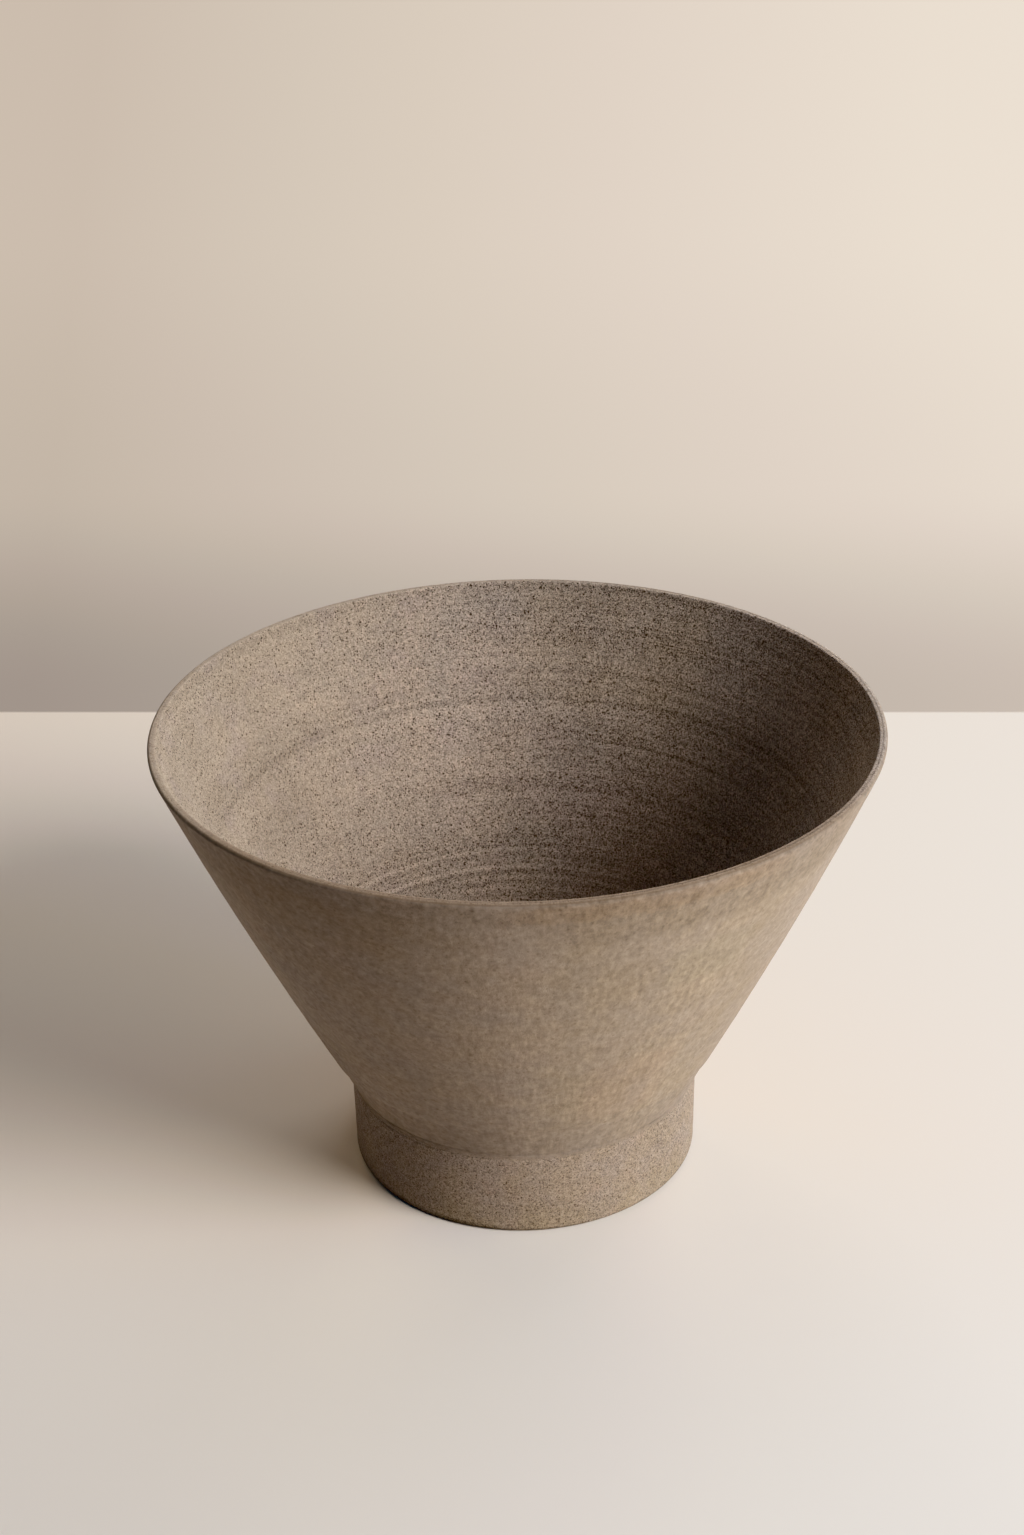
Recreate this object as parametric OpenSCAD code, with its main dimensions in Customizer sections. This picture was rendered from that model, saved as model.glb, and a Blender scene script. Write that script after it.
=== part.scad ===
// Tapered stoneware bowl: a thrown cone on a foot ring that was thrown by itself and luted on.
// The origin is the centre of the foot's base, on the table, and +Z points up out of the bowl.

/* [Bowl] */
// Height of the rim above the table
bowl_h = 168; // [140:1:200]
// Radius of the bowl at the widest part of the rim
rim_r = 125; // [105:1:150]
// How far the wall swells past a straight taper, at half its height
wall_swell = 1.65; // [0:0.05:4]
// Thickness of the wall at the lip, measured level
lip_t = 3.3; // [2.6:0.1:5]
// Thickness of the wall at the foot, measured level
wall_t = 5; // [3.6:0.1:8]
// Thickness of the floor
floor_t = 7.5; // [5:0.5:12]
// Radius of the hollow curve from the floor to the wall
floor_curve_r = 16; // [6:1:25]

/* [Lip] */
// Rounding of the lip's outer edge
lip_outer_r = 1.2; // [0.6:0.1:1.5]
// Rounding of the lip's inner edge
lip_inner_r = 0.5; // [0.2:0.1:0.9]

/* [Foot ring] */
// Height of the foot, from the table to the middle of the luted joint
foot_h = 31.5; // [20:0.5:45]
// Radius of the foot at the joint
foot_r = 62.5; // [50:0.5:75]
// How far the foot draws in towards the table
foot_draw = 0.5; // [0:0.1:2]
// Thickness of the foot ring's wall
foot_t = 8; // [6:0.5:14]
// Rounding of the foot's outer edge at the table
foot_outer_edge_r = 1.5; // [0.4:0.1:2]
// Sponged bevel round the foot's inner edge at the table
foot_inner_bevel = 2; // [0.5:0.1:2.5]

/* [Luted joint] */
// Thickness of the fired slip between the two scored faces
slip_t = 0.4; // [0.2:0.1:1]
// Grooves scored in each face
score_count = 3; // [2:1:4]
// Width of a scored groove
score_w = 0.9; // [0.4:0.1:1.2]
// Depth of a scored groove
score_depth = 0.6; // [0.3:0.1:1]
// How far the smoothed slip runs up the wall and down the foot
crease_reach = 2; // [1:0.1:4]
// Radius of the slip wiped round under the floor
inner_bead_r = 3; // [1.5:0.1:5]

/* [Hidden] */
$fn = 96;

// Straight stretches that stand in for the wall's long curve and for each small round one
wall_steps = 18;
curve_steps = 8;
edge_steps = 5;

// The joint: the slip fills the gap between the foot's top and the bowl's underside
joint_low_z = foot_h - slip_t/2;
joint_high_z = foot_h + slip_t/2;
joint_inner_r = foot_r - foot_t;
joint_step = foot_t/score_count;
floor_z = joint_high_z + floor_t;

// Lean of the wall from upright, outside at the lip and inside at the floor
rise = bowl_h - joint_high_z;
lip_lean = atan((rim_r - foot_r - 4*wall_swell)/rise);
floor_lean = atan((rim_r - foot_r + wall_t - lip_t + 4*wall_swell)/rise);

// The wall's outer line ends where the lip's rounding takes over
lip_outer_centre = [rim_r - lip_outer_r, bowl_h - lip_outer_r];
wall_top = lip_outer_centre + lip_outer_r*[cos(lip_lean), -sin(lip_lean)];

// The inner line starts where the floor's curve ends and stops at the lip's inner rounding
inner_low_z = floor_z + floor_curve_r*(1 - sin(floor_lean));
inner_high_z = bowl_h - lip_inner_r*(1 - sin(lip_lean));
floor_curve_centre = [inner_r(inner_low_z) - floor_curve_r*cos(floor_lean), floor_z + floor_curve_r];
lip_inner_centre = [inner_r(inner_high_z) + lip_inner_r*cos(lip_lean), bowl_h - lip_inner_r];

// Share of the wall's height at a level, from 0 at the joint to 1 where the lip starts
function height_share(z) = (z - joint_high_z)/(wall_top[1] - joint_high_z);

// Outer radius of the wall: a straight taper with a slight swell
function outer_r(z) =
    let (share = height_share(z))
    foot_r + (wall_top[0] - foot_r)*share + 4*wall_swell*share*(1 - share);

// Inner radius of the wall, which thins steadily towards the lip
function inner_r(z) = outer_r(z) - wall_t + (wall_t - lip_t)*height_share(z);

// Points of an arc in the profile's plane, from one angle to another
function arc(centre, r, from, to, steps) =
    [for (i = [0:steps]) let (a = from + (to - from)*i/steps) centre + r*[cos(a), sin(a)]];

// Points of a smooth blend from one point to another, pulled towards a corner between them
function blend(start, corner, end, steps) =
    [for (i = [0:steps]) let (t = i/steps) start*(1 - t)*(1 - t) + corner*2*t*(1 - t) + end*t*t];

function backwards(points) = [for (i = [len(points) - 1:-1:0]) points[i]];

// The scored face of the joint from its inner to its outer edge, with V grooves of a signed depth
function scored_face(z, depth) = [
    [joint_inner_r, z],
    for (i = [0:score_count - 1])
        let (r = joint_inner_r + joint_step*(i + 1/2))
        each [[r - score_w/2, z], [r, z + depth], [r + score_w/2, z]],
    [foot_r, z]
];

bowl_face = scored_face(joint_high_z, score_depth);
foot_face = scored_face(joint_low_z, -score_depth);

// Outer line of the wall, from the joint up to the lip
wall_line = [
    for (i = [0:wall_steps])
        let (z = joint_high_z + (wall_top[1] - joint_high_z)*i/wall_steps)
        [outer_r(z), z]
];

// Inner line of the wall, from the lip down to the floor's curve
inner_line = [
    for (i = [1:wall_steps - 1])
        let (z = inner_high_z + (inner_low_z - inner_high_z)*i/wall_steps)
        [inner_r(z), z]
];

// Side of the foot, from the joint down to its rounded edge
foot_base_r = foot_r - foot_draw;
foot_lean = atan(foot_draw/joint_low_z);
foot_edge_centre = [foot_base_r - foot_outer_edge_r, foot_outer_edge_r];
foot_edge = arc(foot_edge_centre, foot_outer_edge_r, -foot_lean, -90, edge_steps);

// Thrown bowl: floor, tapering wall and lip in one piece
module bowl() {
    color("#a08c78")
        rotate_extrude()
            polygon(concat(
                [[0, joint_high_z]],
                bowl_face,
                [for (i = [1:wall_steps]) wall_line[i]],
                arc(lip_outer_centre, lip_outer_r, 0, 90, edge_steps),
                arc(lip_inner_centre, lip_inner_r, 90, 180 - lip_lean, edge_steps),
                inner_line,
                backwards(arc(floor_curve_centre, floor_curve_r, -90, -floor_lean, curve_steps)),
                [[0, floor_z]]
            ));
}

// Fired slip: the film that keys into both scored faces, smoothed off outside and wiped round inside
module luting_slip() {
    foot_side_dir = (foot_edge[0] - [foot_r, joint_low_z])/norm(foot_edge[0] - [foot_r, joint_low_z]);
    wall_dir = (wall_line[1] - wall_line[0])/norm(wall_line[1] - wall_line[0]);
    low_end = [foot_r, joint_low_z] + crease_reach*foot_side_dir;
    high_end = [foot_r, joint_high_z] + crease_reach*wall_dir;
    bead_centre = [joint_inner_r - inner_bead_r, joint_high_z - inner_bead_r];
    color("#93806d")
        rotate_extrude()
            polygon(concat(
                bowl_face,
                backwards(blend(low_end, [foot_r, foot_h], high_end, edge_steps)),
                backwards(foot_face),
                arc(bead_centre, inner_bead_r, 0, 90, edge_steps)
            ));
}

// Foot ring: a thrown collar, hollow right through, that the bowl's floor closes from above
module foot_ring() {
    color("#a8947f")
        rotate_extrude()
            polygon(concat(
                foot_face,
                foot_edge,
                [[joint_inner_r + foot_inner_bevel, 0], [joint_inner_r, foot_inner_bevel]]
            ));
}

bowl();
luting_slip();
foot_ring();
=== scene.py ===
# Tapered bowl in bare speckled stoneware: a thrown cone, a luted foot ring and the slip that joins them
from functools import partial
from math import atan, atan2, cos, exp, hypot, pi, radians, sin, tan

import bmesh
import bpy
from mathutils import Matrix, Vector, noise


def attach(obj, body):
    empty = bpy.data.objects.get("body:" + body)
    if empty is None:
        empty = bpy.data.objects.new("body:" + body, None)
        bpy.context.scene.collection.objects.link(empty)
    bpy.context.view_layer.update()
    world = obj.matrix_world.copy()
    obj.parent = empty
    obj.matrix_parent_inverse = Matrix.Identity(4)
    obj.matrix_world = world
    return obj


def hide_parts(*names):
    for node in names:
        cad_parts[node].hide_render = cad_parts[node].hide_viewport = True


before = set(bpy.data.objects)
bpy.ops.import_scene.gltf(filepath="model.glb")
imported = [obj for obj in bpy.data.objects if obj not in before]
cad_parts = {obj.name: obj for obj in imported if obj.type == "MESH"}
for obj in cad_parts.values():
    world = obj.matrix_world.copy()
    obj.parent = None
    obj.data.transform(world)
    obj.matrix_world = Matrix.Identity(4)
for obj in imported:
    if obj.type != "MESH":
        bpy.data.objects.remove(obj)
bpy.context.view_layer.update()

mm = 0.001
hair = 0.01  # mm, within which two places are one
scene = bpy.context.scene
print("frame loaded")


# An sRGB hex colour as the linear numbers that a shader socket holds
def paint(hexCode):
    parts = [int(hexCode[i:i + 2], 16) / 255 for i in (1, 3, 5)]
    return [c / 12.92 if c <= 0.04045 else ((c + 0.055) / 1.055) ** 2.4 for c in parts] + [1]


# Empties the node tree of a new material or world
def emptyTree(holder):
    holder.use_nodes = True
    holder.node_tree.nodes.clear()
    return holder.node_tree


# Adds a node with its settings, fills or links its inputs, and gives its outputs.
# The inputs come in their order, or by name or number
def addNode(tree, kind, inputs=(), **settings):
    made = tree.nodes.new("ShaderNode" + kind)
    for name, value in settings.items():
        setattr(made, name, value)
    numbered = inputs if isinstance(inputs, dict) else dict(enumerate(inputs))
    for name, value in numbered.items():
        if isinstance(value, bpy.types.NodeSocket):
            tree.links.new(value, made.inputs[name])
        else:
            made.inputs[name].default_value = value
    return made.outputs


# The camera stands where the photograph was taken from
shot = {
    "focalLength": 58.38,  # mm
    "frameLong": 36,  # mm
    "place": (0, -0.7614, 0.53825),
    "turn": 0.15,  # degrees to the left
    "tilt": 27.011,  # degrees down from level
    "roll": -1.224,
    "clip": (0.05, 30),  # m
}
lens = bpy.data.cameras.new("camera")
lens.lens = shot["focalLength"]
lens.sensor_width = shot["frameLong"]
lens.clip_start, lens.clip_end = shot["clip"]
eye = bpy.data.objects.new("camera", lens)
eye.matrix_world = (
    Matrix.Translation(shot["place"])
    @ Matrix.Rotation(radians(shot["turn"]), 4, "Z")
    @ Matrix.Rotation(radians(90 - shot["tilt"]), 4, "X")
    @ Matrix.Rotation(radians(shot["roll"]), 4, "Z")
)
scene.collection.objects.link(eye)
scene.camera = eye
scene.view_settings.view_transform = "Khronos PBR Neutral"

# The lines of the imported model, in mm
form = {
    "bowlHigh": 168,
    "rimRadius": 125,
    "wallTopRadius": 124.91,  # where the lip's rounding begins
    "wallTopHigh": 166.34,
    "footHigh": 31.5,
    "footRadius": 62.5,
    "footBaseRadius": 62,
    "footInnerRadius": 54.5,
    "slipThick": 0.4,
    "floorThick": 7.5,
    "wallSwell": 1.65,
    "wallAtFoot": 5,
    "wallAtLip": 3.3,
    "floorCurve": 16,
}
jointTop = form["footHigh"] + form["slipThick"] / 2
jointUnder = form["footHigh"] - form["slipThick"] / 2
floorTop = jointTop + form["floorThick"]


def wallShare(z):
    return (z - jointTop) / (form["wallTopHigh"] - jointTop)


# Radius of the outside of the wall at a level
def outerWall(z):
    share = wallShare(z)
    straight = form["footRadius"] + (form["wallTopRadius"] - form["footRadius"]) * share
    return straight + 4 * form["wallSwell"] * share * (1 - share)


# Radius of the inside of the wall at a level
def innerWall(z):
    return outerWall(z) - form["wallAtFoot"] + (form["wallAtFoot"] - form["wallAtLip"]) * wallShare(z)


# Lean of a line of the wall from upright, as its tangent
def leanOf(wall, z):
    return wall(z + 0.5) - wall(z - 0.5)


# Noise that closes on itself round the bowl: waves per radian, height of a wave in mm, seed
def roundNoise(angle, z, waves, tall, seed):
    return noise.noise(Vector((cos(angle) * waves + seed, sin(angle) * waves - seed, z / tall)))


def radiusOf(vert):
    return hypot(vert.co.x, vert.co.y) / mm


# Moves a vertex to a radius, in mm, along its own direction
def setRadius(vert, r):
    now = radiusOf(vert)
    vert.co.x *= r / now
    vert.co.y *= r / now


# A profile from corners given as radius and height in mm; a third number cuts the line that follows into rows
def drawProfile(corners):
    mesh = bmesh.new()
    spots = [Vector((corner[0] * mm, 0, corner[1] * mm)) for corner in corners]
    dots = [mesh.verts.new(spot) for spot in spots]
    for start, end in zip(dots, dots[1:]):
        mesh.edges.new((start, end))
    for corner, start, end in zip(corners, spots, spots[1:]):
        if len(corner) > 2:
            middle = (start + end) / 2
            line = min(
                mesh.edges,
                key=lambda edge: ((edge.verts[0].co + edge.verts[1].co) / 2 - middle).length,
            )
            bmesh.ops.subdivide_edges(mesh, edges=[line], cuts=corner[2] - 1)
    return mesh


def spinRound(mesh, steps):
    bmesh.ops.spin(
        mesh, geom=mesh.verts[:] + mesh.edges[:], cent=(0, 0, 0), axis=(0, 0, 1), dvec=(0, 0, 0),
        angle=2 * pi, steps=steps, use_merge=True, use_normal_flip=False, use_duplicate=False,
    )
    bmesh.ops.remove_doubles(mesh, verts=mesh.verts, dist=hair / 5 * mm)
    bmesh.ops.recalc_face_normals(mesh, faces=mesh.faces)


# Rounds the ring of edges at a radius and height; the offset is how far the rounding reaches
def roundOff(mesh, r, z, offset, rows):
    def onRing(vert):
        return abs(radiusOf(vert) - r) < hair and abs(vert.co.z / mm - z) < hair
    ring = [edge for edge in mesh.edges if onRing(edge.verts[0]) and onRing(edge.verts[1])]
    bmesh.ops.bevel(
        mesh, geom=ring, offset=offset * mm, offset_type="OFFSET", segments=rows,
        profile=0.5, affect="EDGES", material=-1, clamp_overlap=False,
    )


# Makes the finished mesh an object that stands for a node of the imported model.
# Each mark is a number for every vertex, for the material to read
def placePiece(mesh, name, cadNode, material, marks):
    data = bpy.data.meshes.new(name)
    numbers = {mark: [rule(vert) for vert in mesh.verts] for mark, rule in marks.items()}
    mesh.to_mesh(data)
    mesh.free()
    for mark, values in numbers.items():
        data.attributes.new(mark, "FLOAT", "POINT").data.foreach_set("value", values)
    data.shade_smooth()
    data.materials.append(material)
    piece = bpy.data.objects.new(name, data)
    scene.collection.objects.link(piece)
    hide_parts(cadNode)
    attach(piece, "root")
    triangles = sum(len(face.vertices) - 2 for face in data.polygons)
    print(name, "made,", triangles, "triangles")


# How a value eases from one end of a span to the other
smooth = {"interpolation_type": "SMOOTHSTEP"}

# What all looks of the clay share
clay = {
    "level": (0.04, 0.04, 1),  # how the wheel draws bands and streaks out
    "dragged": (0.007, 0.007, 1),  # and how it draws the lines of dragged grit out
    "runRadius": 0.1,  # m, radius at which the upright runs have their true width
    "runDraw": 0.3,  # how much they are drawn out upright
    # detail and roughness of each pattern of noise
    "cloud": (4, 0.65), "blush": (2, 0.5), "band": (3, 0.6), "streak": (3, 0.65), "mottle": (3, 0.6),
    "line": (2, 0.7), "run": (2, 0.6), "grain": (2, 0.7), "gap": (1, 0.5), "tooth": (2, 0.6),
    # the noise at which a pattern begins, and at which it is full
    "cloudEdges": (0.33, 0.67), "blushEdges": (0.5, 0.72), "gapEdges": (0.5, 0.62),
    "gapShare": 0.35,  # of the ground, which is lightened by as much as the gaps darken it
    # m from the axis, left to right: where the painted warm light ends, where grains come in and where they
    # thicken
    "litWarmthSpan": (-0.11, 0.02), "driftSpan": (-0.11, -0.01), "surgeSpan": (0, 0.09),
    "lineClear": (3.5, -2.95),  # slope and start of the lines' strength over the plenty of grains
    "ringShare": (0.5, 0.75),  # rings are this much stronger in the clouds, and at least this strong
    "arcEdge": (1.35, 0.65),  # an arc fades from this much of its half width to this much
    "crowdBand": 2.2, "crowdMottle": 1.2, "crowdDrift": 1.1,  # how far these gather the specks
    "speckSpread": 0.9, "speckLeast": 0.4,  # spread and least of the specks' radii, in shares
    "roughness": 0.92, "gloss": 0.25, "refraction": 1.5,  # unglazed clay hardly shines
    "dryness": 0.6,  # how evenly it scatters light towards its edges
}


# One look of the clay: its colour, and the height of its tooth in mm.
# Iron grains burn out as dark specks, the body clouds from pink to grey, and the wheel leaves level streaks.
def clayLayers(tree, look):
    node = partial(addNode, tree)

    # The fields that patterns lie in: even, drawn out level, dragged right out, and upright
    place = node("TexCoord")["Object"]
    sides = node("SeparateXYZ", {"Vector": place})
    even = node("Mapping", {"Vector": place, "Location": look["shift"]})[0]
    level = node("Mapping", {"Vector": even, "Scale": clay["level"]})[0]
    dragged = node("Mapping", {"Vector": even, "Scale": clay["dragged"]})[0]
    flat = node("VectorMath", (place, (1, 1, 0)), operation="MULTIPLY")[0]
    spoke = node("VectorMath", (flat,), operation="NORMALIZE")[0]
    around = node("VectorMath", {0: spoke, "Scale": clay["runRadius"]}, operation="SCALE")[0]
    upright = node("VectorMath", (place, (0, 0, clay["runDraw"]), around), operation="MULTIPLY_ADD")[0]
    fields = {
        "cloud": even, "blush": even, "band": level, "streak": level, "mottle": even,
        "line": dragged, "run": upright, "grain": even, "gap": even, "tooth": even,
    }
    noises = {}
    for name, field in fields.items():
        detail, rough = clay[name]
        noises[name] = node(
            "TexNoise",
            {"Vector": field, "Scale": 1 / (look[name + "Size"] * mm), "Detail": detail, "Roughness": rough},
        )["Fac"]

    # Clouds in the fired body, a warmer tint on the lit left of the bowl that is painted light, and a pink
    # blush
    cloud = node("MapRange", (noises["cloud"], *clay["cloudEdges"]), **smooth)[0]
    litWarmth = node("MapRange", (sides["X"], *clay["litWarmthSpan"], look["litWarmth"], 0), **smooth)[0]
    blush = node("MapRange", (noises["blush"], *clay["blushEdges"], 0, look["blush"]), **smooth)[0]
    tone = paint(look["greyBody"])
    for share, colour in ((cloud, "warmBody"), (litWarmth, "litWarmthBody"), (blush, "pinkBody")):
        tone = node("Mix", {0: share, 6: tone, 7: paint(look[colour])}, data_type="RGBA")[2]

    # Bands and streaks of the wheel and mottle lighten and darken it
    shade = 1 - (look["band"] + look["streak"] + look["mottle"]) / 2
    for name in ("band", "streak", "mottle"):
        shade = node("Math", (noises[name], look[name], shade), operation="MULTIPLY_ADD")[0]

    # Grains and lines show less on the lit left of the bowl and more on the shaded right, where their
    # stronger contrast is partly painted shade of their relief
    less = node("MapRange", (sides["X"], *clay["driftSpan"], look["drift"], 0), **smooth)[0]
    more = node("MapRange", (sides["X"], *clay["surgeSpan"], 1, 1 + look["surge"]), **smooth)[0]
    plenty = node("Math", (more, less), operation="SUBTRACT")[0]

    # Long level lines that grit dragged under the fingers left: real grooves in the tooth, and in the colour
    # painted shade of them where the right of the bowl lies in shade
    lines = node("Math", (noises["line"], 0.5), operation="SUBTRACT")[0]
    clear = node("Math", (plenty, *clay["lineClear"]), operation="MULTIPLY_ADD", use_clamp=True)[0]
    drawn = node("Math", (lines, clear), operation="MULTIPLY")[0]
    shade = node("Math", (drawn, look["lineTone"], shade), operation="MULTIPLY_ADD")[0]

    # Rings and bands at their own heights, with uneven edges, all round or in an arc
    stray = look["uneven"] * mm
    heights = node("Math", (noises["mottle"], stray, -stray / 2), operation="MULTIPLY_ADD")[0]
    heights = node("Math", (heights, sides["Z"]), operation="ADD")[0]
    patchy = node("Math", (cloud, *clay["ringShare"]), operation="MULTIPLY_ADD")[0]

    def ringAt(high, half, soft, middle=None, wide=None):
        off = node("Math", (heights, high * mm), operation="SUBTRACT")[0]
        off = node("Math", (off,), operation="ABSOLUTE")[0]
        part = node("MapRange", (off, half * mm, (half + soft) * mm, 1, 0), **smooth)[0]
        if wide:
            way = (cos(radians(middle)), sin(radians(middle)), 0)
            facing = node("VectorMath", (spoke, way), operation="DOT_PRODUCT")["Value"]
            ends = [cos(radians(wide * edge)) for edge in clay["arcEdge"]]
            there = node("MapRange", (facing, *ends), **smooth)[0]
            part = node("Math", (part, there), operation="MULTIPLY")[0]
        return node("Math", (part, patchy), operation="MULTIPLY")[0]

    # Upright runs of slip on one side
    if look["runs"]:
        runs = node("Math", (noises["run"], look["runs"], -look["runs"] / 2), operation="MULTIPLY_ADD")[0]
        shade = node("Math", (runs, ringAt(*look["runsAt"]), shade), operation="MULTIPLY_ADD")[0]

    for high, half, soft, amount, *arc in look["zones"]:
        shade = node("Math", (ringAt(high, half, soft, *arc), amount, shade), operation="MULTIPLY_ADD")[0]
    for high, half, soft, amount, middle, wide, colour in look["stains"]:
        share = node("Math", (ringAt(high, half, soft, middle, wide), amount), operation="MULTIPLY")[0]
        tone = node("Mix", {0: share, 6: tone, 7: paint(colour)}, data_type="RGBA")[2]

    # Sand grains, fine grain and the dark gaps between them
    cells = node("TexVoronoi", {"Vector": even, "Scale": 1 / (look["sandSize"] * mm)})
    sand = node("SeparateColor", {"Color": cells["Color"]})["Blue"]
    lightest = look["gaps"] * clay["gapShare"]
    fine = node(
        "MapRange", (noises["gap"], *clay["gapEdges"], lightest, lightest - look["gaps"]), **smooth,
    )[0]
    for value, name in ((sand, "sand"), (noises["grain"], "grain")):
        value = node("Math", (value, 0.5), operation="SUBTRACT")[0]
        fine = node("Math", (value, look[name], fine), operation="MULTIPLY_ADD")[0]
    shade = node("Math", (fine, plenty, shade), operation="MULTIPLY_ADD")[0]
    grey = node("CombineColor", (shade, shade, shade))[0]
    tone = node("Mix", {0: 1.0, 6: tone, 7: grey}, data_type="RGBA", blend_type="MULTIPLY")[2]

    # Iron specks of several sizes, thicker on the ground in some bands than in others;
    # each cell of a pattern holds one speck or none
    crowd = 1 - (clay["crowdBand"] + clay["crowdMottle"]) / 2
    crowd = node("Math", (noises["band"], clay["crowdBand"], crowd), operation="MULTIPLY_ADD")[0]
    crowd = node("Math", (noises["mottle"], clay["crowdMottle"], crowd), operation="MULTIPLY_ADD")[0]
    thinned = node("Math", (less, -clay["crowdDrift"], 1), operation="MULTIPLY_ADD")[0]
    crowd = node("Math", (crowd, thinned), operation="MULTIPLY")[0]
    pits = 0
    for size, share, radius, dark in look["specks"]:
        cells = node("TexVoronoi", {"Vector": even, "Scale": 1 / (size * mm)})
        pick = node("SeparateColor", {"Color": cells["Color"]})
        likely = node("Math", (crowd, share), operation="MULTIPLY")[0]
        chosen = node("Math", (pick["Red"], likely), operation="LESS_THAN")[0]
        radii = [part * radius / size for part in (clay["speckSpread"], clay["speckLeast"])]
        reach = node("Math", (pick["Green"], *radii), operation="MULTIPLY_ADD")[0]
        out = node("Math", (cells["Distance"], reach), operation="DIVIDE")[0]
        edge = look["speckEdge"]
        spot = node("Math", (out, -edge, edge), operation="MULTIPLY_ADD", use_clamp=True)[0]
        spot = node("Math", (spot, chosen), operation="MULTIPLY")[0]
        stain = node("Math", (spot, dark), operation="MULTIPLY")[0]
        tone = node("Mix", {0: stain, 6: tone, 7: paint(look["iron"])}, data_type="RGBA")[2]
        pits = node("Math", (pits, spot), operation="MAXIMUM")[0]

    # Tooth of the dry surface, with the pits of the specks and the depth of the level lines
    tooth = node(
        "Math", (noises["streak"], look["streakTooth"], noises["tooth"]), operation="MULTIPLY_ADD",
    )[0]
    tooth = node("Math", (pits, -look["pitDepth"], tooth), operation="MULTIPLY_ADD")[0]
    scored = node("Math", (lines, look["lineDepth"]), operation="MULTIPLY")[0]
    tooth = node("Math", (tooth, look["tooth"], scored), operation="MULTIPLY_ADD")[0]
    return tone, tooth


# Iron-bearing stoneware, fired without glaze: dry and matt, so light dies in it and colour does the work.
# Where two looks meet, the mask tells how much each vertex has of the second
def bareStoneware(name, look, secondLook=None, mask=None, finish=None):
    material = bpy.data.materials.new(name)
    tree = emptyTree(material)
    node = partial(addNode, tree)
    tone, tooth = clayLayers(tree, look)
    if secondLook:
        share = node("Attribute", attribute_name=mask)["Fac"]
        secondTone, secondTooth = clayLayers(tree, secondLook)
        tone = node("Mix", {0: share, 6: tone, 7: secondTone}, data_type="RGBA")[2]
        tooth = node("Mix", {0: share, 2: tooth, 3: secondTooth}, data_type="FLOAT")[0]
    if finish:
        tone = finish(tree, tone)
    bump = node("Bump", {"Height": tooth, "Strength": 1.0, "Distance": mm})[0]
    surface = node("BsdfPrincipled", {
        "Base Color": tone, "Normal": bump, "Roughness": clay["roughness"],
        "Specular IOR Level": clay["gloss"], "IOR": clay["refraction"],
        "Diffuse Roughness": clay["dryness"],
    })[0]
    node("OutputMaterial", {"Surface": surface})
    return material


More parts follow.
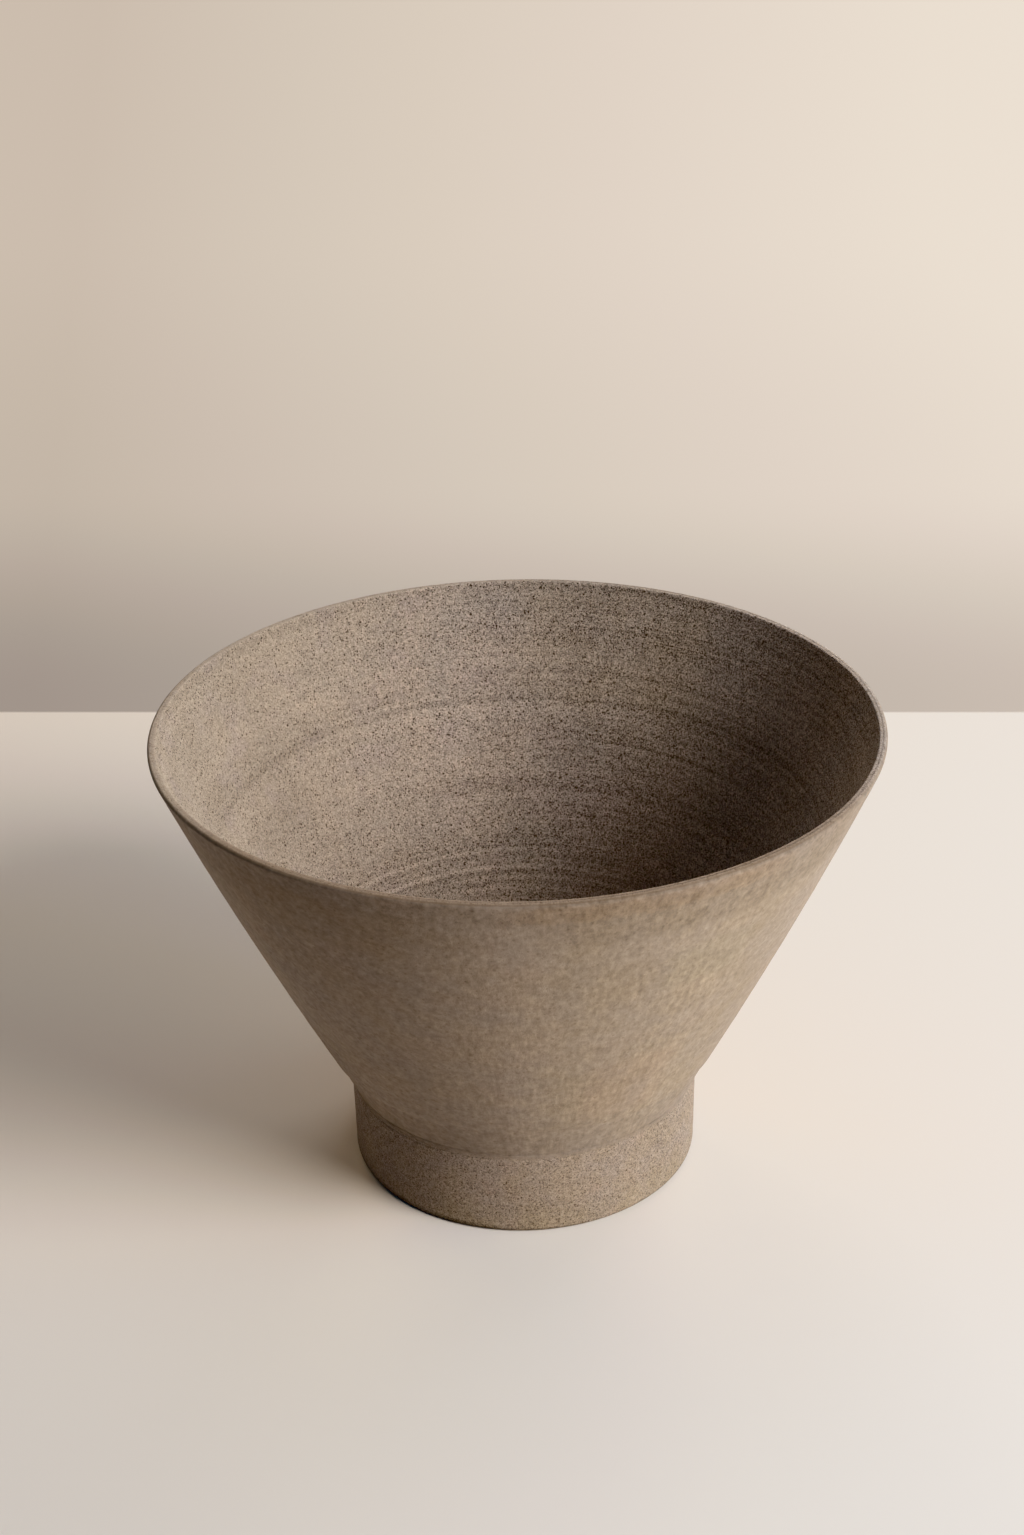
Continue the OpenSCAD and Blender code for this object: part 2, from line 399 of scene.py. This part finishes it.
# The bowl
bowl = {
    "turns": 240,  # faces round the bowl
    "innerRows": 190,  # rows of faces up the inside, fine enough for the throwing rings
    "outerRows": 84,
    "floorRows": 26,
    "floorFlat": 50,  # mm, radius of the part of the floor that has them
    "curveRows": 10,
    "underRows": 6,
    "curveTop": 48.2,  # mm, level at which the curve from the floor has become the wall
    "leanUnder": 0.4,  # mm under that level, where the wall's lean is taken down to the floor
    # mm that the roundings of the lip's edges reach, for radii of 1.2 and 0.5, and their rows
    "lipOuterRound": (1.788, 6), "lipInnerRound": (0.335, 3),
    "lipLand": 2.4,  # mm of uncut wall below the lip, for its rounding
    "lipGroove": 0.04,  # mm, depth of the line left in the lip
    "grooveIn": 1.2,  # mm from the inner edge of the lip to that line
    "grooveHalf": 0.2,  # mm, its half width
    # Throwing rings that the fingers left inside: height, half width and how far each stands in, all mm
    "rings": [
        (153, 3.2, 0.14), (142, 2.6, 0.07), (135, 2.4, 0.06), (129, 0.9, 0.05), (124, 2.2, 0.07),
        (115, 2.4, 0.08), (110, 1.8, 0.05), (102, 2.6, 0.08), (89, 2.4, 0.07), (85, 1.4, 0.05),
        (74.5, 1.1, 0.11), (68.3, 1.2, 0.12), (60, 2.2, 0.06), (54, 1.6, 0.05),
    ],
    "marksLow": (0.3, 3),  # mm above the curve where marks of the wheel begin, and over which they come in
    "marksHigh": (0.6, 2),  # mm under the top where they end, and over which they die away
    "wobble": 0.6,  # mm that a ring rises and falls round the wall
    "liftShare": 0.7,  # by which a ring is stronger and weaker round the wall
    "fineLines": 0.05,  # mm, depth of the fine lines between the rings
    "turning": 0.06,  # mm, depth of the turning marks outside
    # waves per radian, height of a wave in mm, and seed, of each
    "wobbleWaves": (0.8, 40, 3), "liftWaves": (0.9, 25, 7), "fineWaves": (1.5, 1.5, 11),
    "turningWaves": (0.7, 5, 17),
    "lipShare": 0.45,  # how much of the look of the inside the lip has
    "lipSkin": 0.1,  # mm, depth of that
    # Sizes in mm; each amount is the share by which a layer lightens and darkens the clay.
    # Real grain goes down to 0.1 mm, too fine to show, so the finest here is drawn 0.4 mm coarse.
    # A speck has the size of a cell, the share of cells that hold one, its radius and how dark it is.
    # A zone has its height, half width, softness and amount, and where it goes only part of the way round,
    # its middle and half width in degrees. A stain has all these and a colour.
    "inside": {
        "shift": (0, 0, 0),
        "cloudSize": 22, "greyBody": "#a6998e", "warmBody": "#a8998c", "litWarmth": 0.6, "litWarmthBody": "#aa9984",
        "blushSize": 13, "blush": 0.4, "pinkBody": "#a5958c",
        "bandSize": 9, "band": 0.18, "streakSize": 1.8, "streak": 0.16, "mottleSize": 4, "mottle": 0.12,
        "drift": 0.4, "surge": 0.25,
        "lineSize": 1.1, "lineTone": 0.9, "lineDepth": 0.3, "runSize": 1.2, "runs": 0,
        "sandSize": 0.48, "sand": 0.75, "grainSize": 0.4, "grain": 1.5, "gapSize": 0.46, "gaps": 0.48,
        "toothSize": 0.75, "tooth": 0.22, "streakTooth": 0.5, "pitDepth": 0.7,
        "specks": [(0.72, 0.6, 0.28, 0.9), (1.2, 0.42, 0.36, 0.9), (4.5, 0.35, 0.48, 0.92)],
        "speckEdge": 2.9, "iron": "#423225",
        "uneven": 0.5,
        "zones": [
            (165.8, 0.8, 1.6, -0.09), (155, 4, 5, -0.05, 50, 45), (142, 3, 4, 0.05),
            # The narrow light and dark lines from here down are mostly painted highlight and painted shade on
            # the upper and lower flanks of the throwing rings
            (129, 0.2, 0.5, 0.16, 112, 18), (127.2, 0.6, 1.6, -0.15, 130, 45),
            (131.5, 1.5, 2.5, -0.05, 140, 28), (128, 0.4, 0.7, -0.12, 35, 28),
            (113.4, 0.2, 0.6, -0.14, 42, 24), (112.2, 0.3, 0.8, 0.06, 42, 30),
            (96.5, 0.2, 0.5, -0.14, 62, 22), (86, 0.8, 1.4, 0.08, 52, 14), (79, 0.4, 1.0, -0.1, 62, 30),
            (74.4, 0.3, 0.6, 0.2, 115, 42), (75.9, 0.3, 0.7, -0.08, 110, 40),
            (72.4, 0.3, 0.6, -0.1, 110, 40), (70.8, 0.2, 0.5, 0.06, 105, 40),
            (68.6, 0.35, 0.7, 0.2, 110, 45), (66.8, 0.3, 0.7, -0.12, 105, 40),
            (64.9, 0.2, 0.5, 0.07, 95, 35), (63.4, 0.3, 0.6, -0.08, 95, 35), (61.5, 0.3, 0.7, 0.06, 90, 40),
            # The broad lighter zones round 112 to 114 degrees, up the wall, are painted light on the back
            # left of the inside
            (140, 30, 20, 0.12, 114, 28), (100, 75, 20, 0.03, 112, 18), (143, 13, 10, -0.08, 182, 14),
            (113, 6, 5, -0.05, 82, 18), (125, 45, 25, 0.04, 8, 40), (122, 42, 20, -0.06, 84, 13),
            (148, 4, 4, 0.14, 33, 12), (137, 3, 3, 0.08, 36, 14), (124, 4, 3, -0.1, 30, 22),
            (100, 3, 4, -0.13, 30, 12), (124, 3, 3, 0.08, 112, 14), (88, 4, 4, 0.07, 104, 24),
            (64, 6, 6, 0.07, 98, 16), (105, 7, 6, -0.07, 157, 12),
        ],
        "stains": [
            (125, 45, 25, 0.7, 8, 42, "#ad9f95"), (125, 45, 25, 0.6, -4, 14, "#aba19a"),
            (70, 25, 20, 0.5, 62, 18, "#a89991"), (148, 16, 12, 0.35, 70, 18, "#a99986"),
        ],
    },
    "outside": {
        "shift": (0.3, 0.1, 0.2),
        "cloudSize": 22, "greyBody": "#a49587", "warmBody": "#a69584", "litWarmth": 0, "litWarmthBody": "#a6937e",
        "blushSize": 15, "blush": 0.3, "pinkBody": "#a69384",
        "bandSize": 14, "band": 0.13, "streakSize": 2.4, "streak": 0.05, "mottleSize": 2.4, "mottle": 0.74,
        "drift": 0, "surge": 0,
        "lineSize": 1.6, "lineTone": 0, "lineDepth": 0,
        "runSize": 1.7, "runs": 0.6, "runsAt": (100, 90, 10, -76, 27),  # placed as a zone is
        "sandSize": 1.2, "sand": 0.04, "grainSize": 0.9, "grain": 0.14, "gapSize": 1.1, "gaps": 0.03,
        "toothSize": 1.2, "tooth": 0.13, "streakTooth": 0.2, "pitDepth": 0.3,
        "specks": [(1.7, 0.45, 0.6, 0.26), (3.1, 0.35, 0.8, 0.3), (11, 0.3, 1.0, 0.35)],
        "speckEdge": 1.1, "iron": "#54432f",
        "uneven": 5,
        "zones": [
            # The band at 38 mm, all round, and the line at 31.6 mm, on the left, are painted shade in and
            # over the crease above the foot
            (158, 9, 4, -0.06), (157, 8, 3, -0.06, -55, 25), (38, 5, 6, -0.09), (90, 60, 20, 0.03, -89, 5),
            # The zone at 128 mm round -185 degrees is painted light on the left and far side, standing in for
            # light from behind on the left
            (31.6, 0.2, 0.5, -0.25, -146, 24), (72, 28, 30, 0.065, -112, 32), (128, 40, 25, 0.2, -185, 40),
            (90, 75, 10, -0.05, -28, 20), (163, 3, 4, -0.07, -104, 22),
        ],
        "stains": [
            (163, 2, 3, 0.2, -70, 20, "#a5825c"), (68, 12, 8, 0.2, -65, 10, "#ad8f7c"),
            (128, 7, 5, 0.2, -57, 8, "#99937f"), (150, 8, 6, 0.12, -125, 20, "#8d765c"),
            (100, 50, 25, 0.35, -62, 24, "#a6957d"),
        ],
    },
    # The wiped lip, in mm: spans from left to right and from front to back, and levels from its top
    "lip": {
        "top": (-0.7, -0.25),
        # the darker outer edge is painted shade of the lip's outer rounding
        "edge": (-0.9, -0.3),  # from the rim's radius
        "edgeTop": (-1.6, -0.8), "edgeDark": 0.12,
        "line": (0.1, 0.45),  # mm from the middle of the line, where it begins to fade and where it ends
        "lineSpan": (-60, 60), "lineLeft": 0.08, "lineRight": 0.28,  # how dark it is on the two sides
        "frontSpan": (-100, -35), "frontDark": 0.17, "frontBrowning": 0.4, "frontBrown": "#a08467",
        "pale": 0.05,
    },
}


def makeBowl():
    high = form["bowlHigh"]
    landLow = high - bowl["lipLand"]
    curveTop = bowl["curveTop"]
    leanLevel = curveTop - bowl["leanUnder"]
    lean = leanOf(innerWall, leanLevel)
    floorCorner = innerWall(leanLevel) - lean * (leanLevel - floorTop)
    grooveAt = innerWall(high) + bowl["grooveIn"]
    lipOuter = form["wallTopRadius"] + leanOf(outerWall, high - 2) * (high - form["wallTopHigh"])
    mesh = drawProfile([
        (0, floorTop, bowl["floorRows"]),
        (bowl["floorFlat"], floorTop),
        (floorCorner, floorTop),
        (innerWall(curveTop), curveTop, bowl["innerRows"]),
        (innerWall(high), high),
        (grooveAt - bowl["grooveHalf"], high),
        (grooveAt, high),
        (grooveAt + bowl["grooveHalf"], high),
        (lipOuter, high),
        (outerWall(landLow), landLow, bowl["outerRows"]),
        (form["footRadius"], jointTop),
        (form["footInnerRadius"], jointTop, bowl["underRows"]),
        (0, jointTop),
    ])
    # The straight rows of the wall take its swell
    for dot in mesh.verts:
        z = dot.co.z / mm
        if curveTop < z < high - hair:
            inside = dot.co.x / mm < (outerWall(z) + innerWall(z)) / 2
            dot.co.x = (innerWall(z) if inside else outerWall(z)) * mm
    spinRound(mesh, bowl["turns"])
    bend = tan((pi / 2 - atan(lean)) / 2)
    roundOff(mesh, floorCorner, floorTop, form["floorCurve"] * bend, bowl["curveRows"])
    roundOff(mesh, lipOuter, high, *bowl["lipOuterRound"])
    roundOff(mesh, innerWall(high), high, *bowl["lipInnerRound"])

    # A line in the lip, rings and fine lines from the fingers inside, turning marks outside
    widest = form["rimRadius"] - hair
    above, comeIn = bowl["marksLow"]
    below, dieAway = bowl["marksHigh"]
    marksLow = curveTop + above
    marksHigh = high - below
    for vert in mesh.verts:
        z = vert.co.z / mm
        r = radiusOf(vert)
        if z > high - hair and abs(r - grooveAt) < hair:
            vert.co.z -= bowl["lipGroove"] * mm
        if r > widest:
            r = widest
            setRadius(vert, r)
        if z < marksLow or z > marksHigh:
            continue
        angle = atan2(vert.co.y, vert.co.x)
        fade = min(1, (marksHigh - z) / dieAway, (z - marksLow) / comeIn)
        if r < (outerWall(z) + innerWall(z)) / 2:
            wander = z + bowl["wobble"] * roundNoise(angle, z, *bowl["wobbleWaves"])
            lift = sum(out * exp(-((wander - ring) / half) ** 2) for ring, half, out in bowl["rings"])
            lift *= 1 + bowl["liftShare"] * roundNoise(angle, z, *bowl["liftWaves"])
            lift += bowl["fineLines"] * roundNoise(angle, z, *bowl["fineWaves"])
            setRadius(vert, r - lift * fade)
        else:
            cut = bowl["turning"] * (roundNoise(angle, z, *bowl["turningWaves"]) - 0.5)
            setRadius(vert, r + min(0, cut) * fade)
    return mesh


# The lip is wiped smooth, with one thin line left along it. It is pale behind,
# darker and browner at the front, and darker along its outer edge, where the darkening is painted shade of
# the rounded edge
def wipeLip(tree, tone):
    node = partial(addNode, tree)
    place = node("TexCoord")["Object"]
    sides = node("SeparateXYZ", {"Vector": place})
    flat = node("VectorMath", (place, (1, 1, 0)), operation="MULTIPLY")[0]
    out = node("VectorMath", (flat,), operation="LENGTH")["Value"]
    lineAt = innerWall(form["bowlHigh"]) + bowl["grooveIn"]
    off = node("Math", (out, lineAt * mm), operation="SUBTRACT")[0]
    off = node("Math", (off,), operation="ABSOLUTE")[0]
    # what each span is measured along, where it starts from, and what it gives at its two ends
    spans = {
        "top": (sides["Z"], form["bowlHigh"], 0, 1),
        "edge": (out, form["rimRadius"], 0, 1),
        "edgeTop": (sides["Z"], form["bowlHigh"], 0, bowl["lip"]["edgeDark"]),
        "line": (off, 0, 1, 0),
        "lineSpan": (sides["X"], 0, bowl["lip"]["lineLeft"], bowl["lip"]["lineRight"]),
        "frontSpan": (sides["Y"], 0, 1, 0),
    }
    given = {}
    for name, (along, start, low, high) in spans.items():
        ends = [(start + end) * mm for end in bowl["lip"][name]]
        given[name] = node("MapRange", (along, *ends, low, high), **smooth)[0]
    line = node("Math", (given["line"], given["lineSpan"]), operation="MULTIPLY")[0]
    line = node("Math", (line, given["top"]), operation="MULTIPLY")[0]
    dark = node("Math", (given["edge"], given["edgeTop"], line), operation="MULTIPLY_ADD")[0]
    front = node("Math", (given["frontSpan"], given["top"]), operation="MULTIPLY")[0]
    dark = node("Math", (front, bowl["lip"]["frontDark"], dark), operation="MULTIPLY_ADD")[0]
    level = node("Math", (given["top"], bowl["lip"]["pale"], 1), operation="MULTIPLY_ADD")[0]
    level = node("Math", (level, dark), operation="SUBTRACT")[0]
    share = node("Math", (front, bowl["lip"]["frontBrowning"]), operation="MULTIPLY")[0]
    tone = node("Mix", {0: share, 6: tone, 7: paint(bowl["lip"]["frontBrown"])}, data_type="RGBA")[2]
    grey = node("CombineColor", (level, level, level))[0]
    return node("Mix", {0: 1.0, 6: tone, 7: grey}, data_type="RGBA", blend_type="MULTIPLY")[2]


# How much of the look of the inside a vertex has: none underneath and outside, all on the floor and inside
def insideShare(vert):
    z = vert.co.z / mm
    if z < jointTop + hair:
        return 0
    if z > form["bowlHigh"] - bowl["lipSkin"]:
        return bowl["lipShare"]
    return 1 if radiusOf(vert) < (outerWall(z) + innerWall(z)) / 2 else 0


bowlClay = bareStoneware("bare stoneware, thrown", bowl["outside"], bowl["inside"], "inside", wipeLip)
placePiece(makeBowl(), "thrown_bowl", "bowl", bowlClay, {"inside": insideShare})

# The foot ring
foot = {
    "turns": 200,
    "sideRows": 24,
    "land": 2,  # mm of plain side at its top and at the table, for the roundings
    "landLean": (0.03, 0.04),  # mm that it leans in over them, at its top and at the table
    "outerEdge": (1.5, 6),  # mm, rounding at the table, and its rows
    "innerBevel": 2.0,
    "bevelEdge": (0.5, 3),  # the rounding between the bevel and the base
    "marks": 0.05,  # mm, depth of its throwing marks outside
    "innerMarks": 0.15,
    "markWaves": (0.8, 3, 23),
    "look": {
        "shift": (0.7, 0.4, 0.1),
        "cloudSize": 12, "greyBody": "#a19286", "warmBody": "#a49382", "litWarmth": 0, "litWarmthBody": "#a6937e",
        "blushSize": 9, "blush": 0.4, "pinkBody": "#a59083",
        "bandSize": 8, "band": 0.06, "streakSize": 1.6, "streak": 0.14, "mottleSize": 1.8, "mottle": 0.26,
        "drift": 0, "surge": 0,
        "lineSize": 1.2, "lineTone": 0.05, "lineDepth": 0, "runSize": 1.2, "runs": 0,
        "sandSize": 0.55, "sand": 0.42, "grainSize": 0.46, "grain": 0.85, "gapSize": 0.55, "gaps": 0.33,
        "toothSize": 0.75, "tooth": 0.15, "streakTooth": 0.3, "pitDepth": 0.5,
        "specks": [(0.75, 0.54, 0.28, 0.58), (1.3, 0.4, 0.36, 0.62), (6, 0.25, 0.5, 0.78)],
        "speckEdge": 2.4, "iron": "#4c3a28",
        "uneven": 1,
        "zones": [
            # The zones at 0 mm are painted shade where the foot meets the table, deepest at the front left;
            # the line at 31.4 mm is painted shade in the crease on the left
            (0, 0.7, 1.1, -0.24), (0, 1.5, 1.5, -0.4, -137, 37), (31.4, 0.2, 0.5, -0.25, -146, 24),
            (16, 20, 5, -0.08, -28, 18),
        ],
        "stains": [
            (16, 20, 5, 0.5, -174, 14, "#a0938b"), (16, 20, 5, 0.18, -140, 30, "#a0938b"),
            (0, 2, 14, 0.35, -72, 50, "#a49379"), (12, 22, 4, 0.12, -68, 52, "#a49379"),
        ],
    },
}


def makeFoot():
    bevel = foot["innerBevel"]
    land = foot["land"]
    topLean, baseLean = foot["landLean"]
    inner = form["footInnerRadius"]
    mesh = drawProfile([
        (inner, jointUnder),
        (form["footRadius"], jointUnder),
        (form["footRadius"] - topLean, jointUnder - land, foot["sideRows"]),
        (form["footBaseRadius"] + baseLean, land),
        (form["footBaseRadius"], 0),
        (inner + bevel, 0),
        (inner, bevel, foot["sideRows"]),
        (inner, jointUnder),
    ])
    spinRound(mesh, foot["turns"])
    roundOff(mesh, form["footBaseRadius"], 0, *foot["outerEdge"])
    roundOff(mesh, inner + bevel, 0, *foot["bevelEdge"])
    for vert in mesh.verts:
        z = vert.co.z / mm
        r = radiusOf(vert)
        if land < z < jointUnder - land:
            angle = atan2(vert.co.y, vert.co.x)
            depth = foot["marks"] if r > (inner + form["footRadius"]) / 2 else foot["innerMarks"]
            setRadius(vert, r + depth * (roundNoise(angle, z, *foot["markWaves"]) - 0.5))
    return mesh


footClay = bareStoneware("bare stoneware, turned", foot["look"])
placePiece(makeFoot(), "luted_foot", "foot_ring", footClay, {})

# The slip in the joint
slip = {
    "turns": 200,
    "reach": 2.0,  # mm that it is smoothed down the foot
    "reachUp": 1.8,  # and up the wall
    "rows": 5,
    "footLean": 0.035,  # mm that the foot leans in over its reach
    "blend": (1.4, 8),  # mm that the rounding in the crease reaches, and its rows
    "feather": 0.03,  # mm that its ends sink under the clay
    "seam": 0.22,  # mm, depth of the line left open on the left, towards the back
    "seamHalf": 0.5,  # mm
    "seamSkin": 0.15,  # mm under the surface that it takes along
    "seamRise": 0.1,  # mm that it lies above the middle of the joint
    "seamMiddle": 142,  # degrees
    "seamFades": (0.55, 0.3),  # cosine of the angle at which it begins, and over how much it deepens
    "bead": 3.0,  # mm, the bead under the floor
    "beadEdge": 0.05,  # mm, how thick it still is at its lower edge
    "beadHollow": 0.35,  # share of the bead at which its hollow face turns
    "wipeLow": 0.8,  # mm under the joint where the look of the wall begins
    "wipeOver": 1.8,  # mm over which it comes in
}


def makeSlip():
    reach = slip["reach"]
    feather = slip["feather"]
    middle = form["footHigh"]
    r = form["footRadius"]
    inner = form["footInnerRadius"]
    bead = slip["bead"]
    hollow = bead * slip["beadHollow"]
    top = jointTop + slip["reachUp"]
    mesh = drawProfile([
        (inner, jointTop),
        (r, jointTop),
        (outerWall(top) - feather, top, slip["rows"]),
        (r, middle, slip["rows"]),
        (r - slip["footLean"] - feather, jointUnder - reach),
        (r, jointUnder),
        (inner, jointUnder),
        (inner - slip["beadEdge"], jointTop - bead),
        (inner - hollow, jointTop - hollow),
        (inner - bead, jointTop),
        (inner, jointTop),
    ])
    spinRound(mesh, slip["turns"])
    roundOff(mesh, r, middle, *slip["blend"])
    half = slip["seamHalf"]
    start, over = slip["seamFades"]
    for vert in mesh.verts:
        rise = abs(vert.co.z / mm - middle - slip["seamRise"])
        if rise < half and radiusOf(vert) > r - slip["seamSkin"]:
            turn = atan2(vert.co.y, vert.co.x) - radians(slip["seamMiddle"])
            opened = min(1, max(0, (cos(turn) - start) / over))
            setRadius(vert, radiusOf(vert) - slip["seam"] * opened * (1 - rise / half))
    return mesh


# Above the crease the slip is wiped like the wall, and below it like the foot
def wipedUp(vert):
    return min(1, max(0, (vert.co.z / mm - jointUnder + slip["wipeLow"]) / slip["wipeOver"]))


slipClay = bareStoneware("fired slip, sponged", foot["look"], bowl["outside"], "wiped")
placePiece(makeSlip(), "smoothed_slip", "luting_slip", slipClay, {"wiped": wipedUp})

# The stage: one pale table top, with a glowing backdrop lying beyond its edge, whose painted light is darker
# near the edge and on the left
stage = {
    "size": 8,  # m
    "edge": 0.3546,  # m behind the bowl, where the pale table top ends
    "edgeTurn": 2.68,  # degrees
    "edgeSoft": 0.001,  # m
    "table": "#e8e0d8", "tableRoughness": 0.9, "tableGloss": 0.2,
    "mist": "#dcd0c3",  # what the table fades to, far from the bowl
    "mistFrom": 0.75, "mistFull": 1.5,  # m
    # glow of the backdrop, linear: near and far, left and right; painted light, with painted shade near the
    # table's edge and on the left
    "nearLeft": (0.395, 0.338, 0.296, 1),
    "nearRight": (0.635, 0.555, 0.485, 1),
    "farLeft": (0.64, 0.55, 0.461, 1),
    "farRight": (0.93, 0.83, 0.73, 1),
    # m behind the bowl: each span turns near to far by its share
    "spans": [(0.36, 0.68, 0.75), (0.5, 1.3, 0.25)],
    "viewWidth": (0.17, 0.2),  # half the width of the view, per m behind the bowl and at it
    "air": (0.027, 0.0485, 0.0875, 1),  # the light that comes from all round, linear
}


def makeStage():
    mesh = bmesh.new()
    bmesh.ops.create_grid(mesh, x_segments=2, y_segments=2, size=stage["size"] / 2)
    data = bpy.data.meshes.new("floor")
    mesh.to_mesh(data)
    mesh.free()
    floor = bpy.data.objects.new("floor", data)
    scene.collection.objects.link(floor)
    material = bpy.data.materials.new("pale matt paint, rolled")
    tree = emptyTree(material)
    node = partial(addNode, tree)

    place = node("TexCoord")["Object"]
    turned = node("Mapping", {"Vector": place, "Rotation": (0, 0, radians(stage["edgeTurn"]))})[0]
    sides = node("SeparateXYZ", {"Vector": turned})
    back = sides["Y"]
    soft = stage["edgeSoft"]
    beyond = node("MapRange", (back, stage["edge"] - soft, stage["edge"] + soft))[0]
    deep = 0
    for start, end, share in stage["spans"]:
        part = node("MapRange", (back, start, end, 0, share), **smooth)[0]
        deep = node("Math", (part, deep), operation="ADD")[0]
    half = node("Math", (back, *stage["viewWidth"]), operation="MULTIPLY_ADD")[0]
    spread = node("Math", (sides["X"], half), operation="DIVIDE")[0]
    right = node("MapRange", (spread, -1, 1))[0]
    near = node("Mix", {0: right, 6: stage["nearLeft"], 7: stage["nearRight"]}, data_type="RGBA")[2]
    far = node("Mix", {0: right, 6: stage["farLeft"], 7: stage["farRight"]}, data_type="RGBA")[2]
    backdrop = node("Mix", {0: deep, 6: near, 7: far}, data_type="RGBA")[2]
    glow = node("Emission", {"Color": backdrop, "Strength": 1.0})[0]
    paper = node("BsdfPrincipled", {
        "Base Color": paint(stage["table"]), "Roughness": stage["tableRoughness"],
        "Specular IOR Level": stage["tableGloss"],
    })[0]
    # Far off the light falls away, so there the camera sees a glowing, painted tone of the room; the light on
    # the bowl stays
    away = node("VectorMath", (place,), operation="LENGTH")["Value"]
    faded = node("MapRange", (away, stage["mistFrom"], stage["mistFull"]), **smooth)[0]
    faded = node("Math", (faded, node("LightPath")["Is Camera Ray"]), operation="MULTIPLY")[0]
    mist = node("Emission", {"Color": paint(stage["mist"]), "Strength": 1.0})[0]
    top = node("MixShader", (faded, paper, mist))[0]
    both = node("MixShader", (beyond, top, glow))[0]
    node("OutputMaterial", {"Surface": both})
    data.materials.append(material)


makeStage()

# Soft studio light from the right, with a weak warm fill all round
lamps = [
    # azimuth and height in degrees, distance m, size m, power W, colour
    (-36, 34, 1.8, 0.9, 34.3, "#fff7ec"),
    (-22, 34, 1.8, 0.9, 7.5, "#99c7ff"),
    (60, 18, 1.4, 1.0, 8.0, "#fffbf4"),
    (120, 18, 1.4, 1.0, 7.7, "#ffdba6"),
    (0, 10, 1.4, 1.0, 5.8, "#eafffb"),
    (180, 62, 1.6, 1.2, 1.1, "#dcfff5"),
    (90, 65, 1.6, 1.0, 1.5, "#e9e7ff"),
]
aim = Vector((0, 0, 0.08))  # m, the middle of the bowl
for index, (turn, lift, far, size, power, colour) in enumerate(lamps):
    lamp = bpy.data.lights.new("softbox" + str(index), "AREA")
    lamp.shape = "DISK"
    lamp.size = size
    lamp.energy = power
    lamp.color = paint(colour)[:3]
    box = bpy.data.objects.new(lamp.name, lamp)
    turn, lift = radians(turn), radians(lift)
    way = Vector((cos(turn) * cos(lift), sin(turn) * cos(lift), sin(lift)))
    box.visible_camera = False
    box.matrix_world = Matrix.Translation(aim + way * far) @ way.to_track_quat("Z", "Y").to_matrix().to_4x4()
    scene.collection.objects.link(box)

# The camera sees the tone of the room; the bowl is lit by the air
room = bpy.data.worlds.new("room")
node = partial(addNode, emptyTree(room))
seen = node("LightPath")["Is Camera Ray"]
air = node("Mix", {0: seen, 6: stage["air"], 7: paint(stage["mist"])}, data_type="RGBA")[2]
node("OutputWorld", {"Surface": node("Background", {"Color": air, "Strength": 1.0})[0]})
scene.world = room
print("stage and light set")
